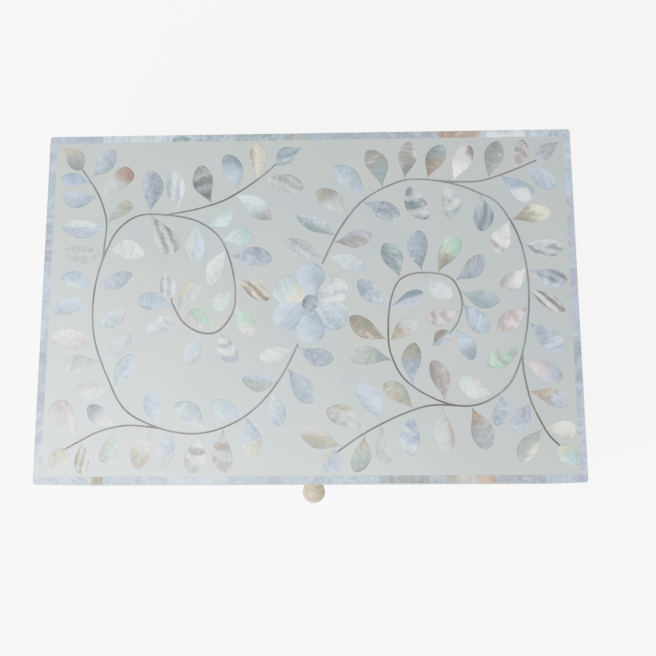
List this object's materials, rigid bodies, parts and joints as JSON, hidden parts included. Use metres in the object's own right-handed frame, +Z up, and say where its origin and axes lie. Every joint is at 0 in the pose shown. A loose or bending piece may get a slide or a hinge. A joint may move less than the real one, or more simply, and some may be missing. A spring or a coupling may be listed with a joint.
{
  "type": "shell inlaid box",
  "caption": "Rectangular lidded box clad in pale resin, its lid inlaid flush with a scrolling vine and flower of mother-of-pearl, with shell border strips and a ball knob at the front.",
  "frame": {"origin": "centre of the flat underside of the box", "axes": "+X to the right seen from the front, along the length of the box; +Y to the back; +Z up. The knob is on the -Y side."},
  "size_m": [0.305, 0.2137, 0.102],
  "materials": {
    "wood": "plain sanded board, light brown, lacquered thinly",
    "resin": "pale grey-white filled resin, ground flat and polished",
    "shell": "mother-of-pearl, pale blue-grey with pearly bands, polished flush; the wires of the vine are dull grey-brown metal",
    "bone": "polished cream bone"
  },
  "bodies": {
    "root": {"base_board": "wood", "base_wall_front": "wood", "base_wall_back": "wood", "base_wall_left": "wood", "base_wall_right": "wood", "lid_board": "wood", "lid_rail_front": "wood", "lid_rail_back": "wood", "lid_rail_left": "wood", "lid_rail_right": "wood", "base_cladding": "resin", "lid_cladding": "resin", "lid_ground": "resin", "vine_left": "shell", "vine_right": "shell", "flower_centre": "shell", "petal_1": "shell", "petal_2": "shell", "petal_3": "shell", "petal_4": "shell", "petal_5": "shell", "petal_6": "shell", "border_back_1": "shell", "border_back_2": "shell", "border_back_3": "shell", "border_back_4": "shell", "border_back_5": "shell", "border_back_6": "shell", "border_back_7": "shell", "border_back_8": "shell", "border_back_9": "shell", "border_back_10": "shell", "border_front_1": "shell", "border_front_2": "shell", "border_front_3": "shell", "border_front_4": "shell", "border_front_5": "shell", "border_front_6": "shell", "border_front_7": "shell", "border_front_8": "shell", "border_front_9": "shell", "border_front_10": "shell", "border_front_11": "shell", "border_front_12": "shell", "border_left_1": "shell", "border_left_2": "shell", "border_left_3": "shell", "border_left_4": "shell", "border_left_5": "shell", "border_right_1": "shell", "border_right_2": "shell", "border_right_3": "shell", "border_right_4": "shell", "border_right_5": "shell", "border_right_6": "shell", "knob": "bone"}
  },
  "joints": []
}
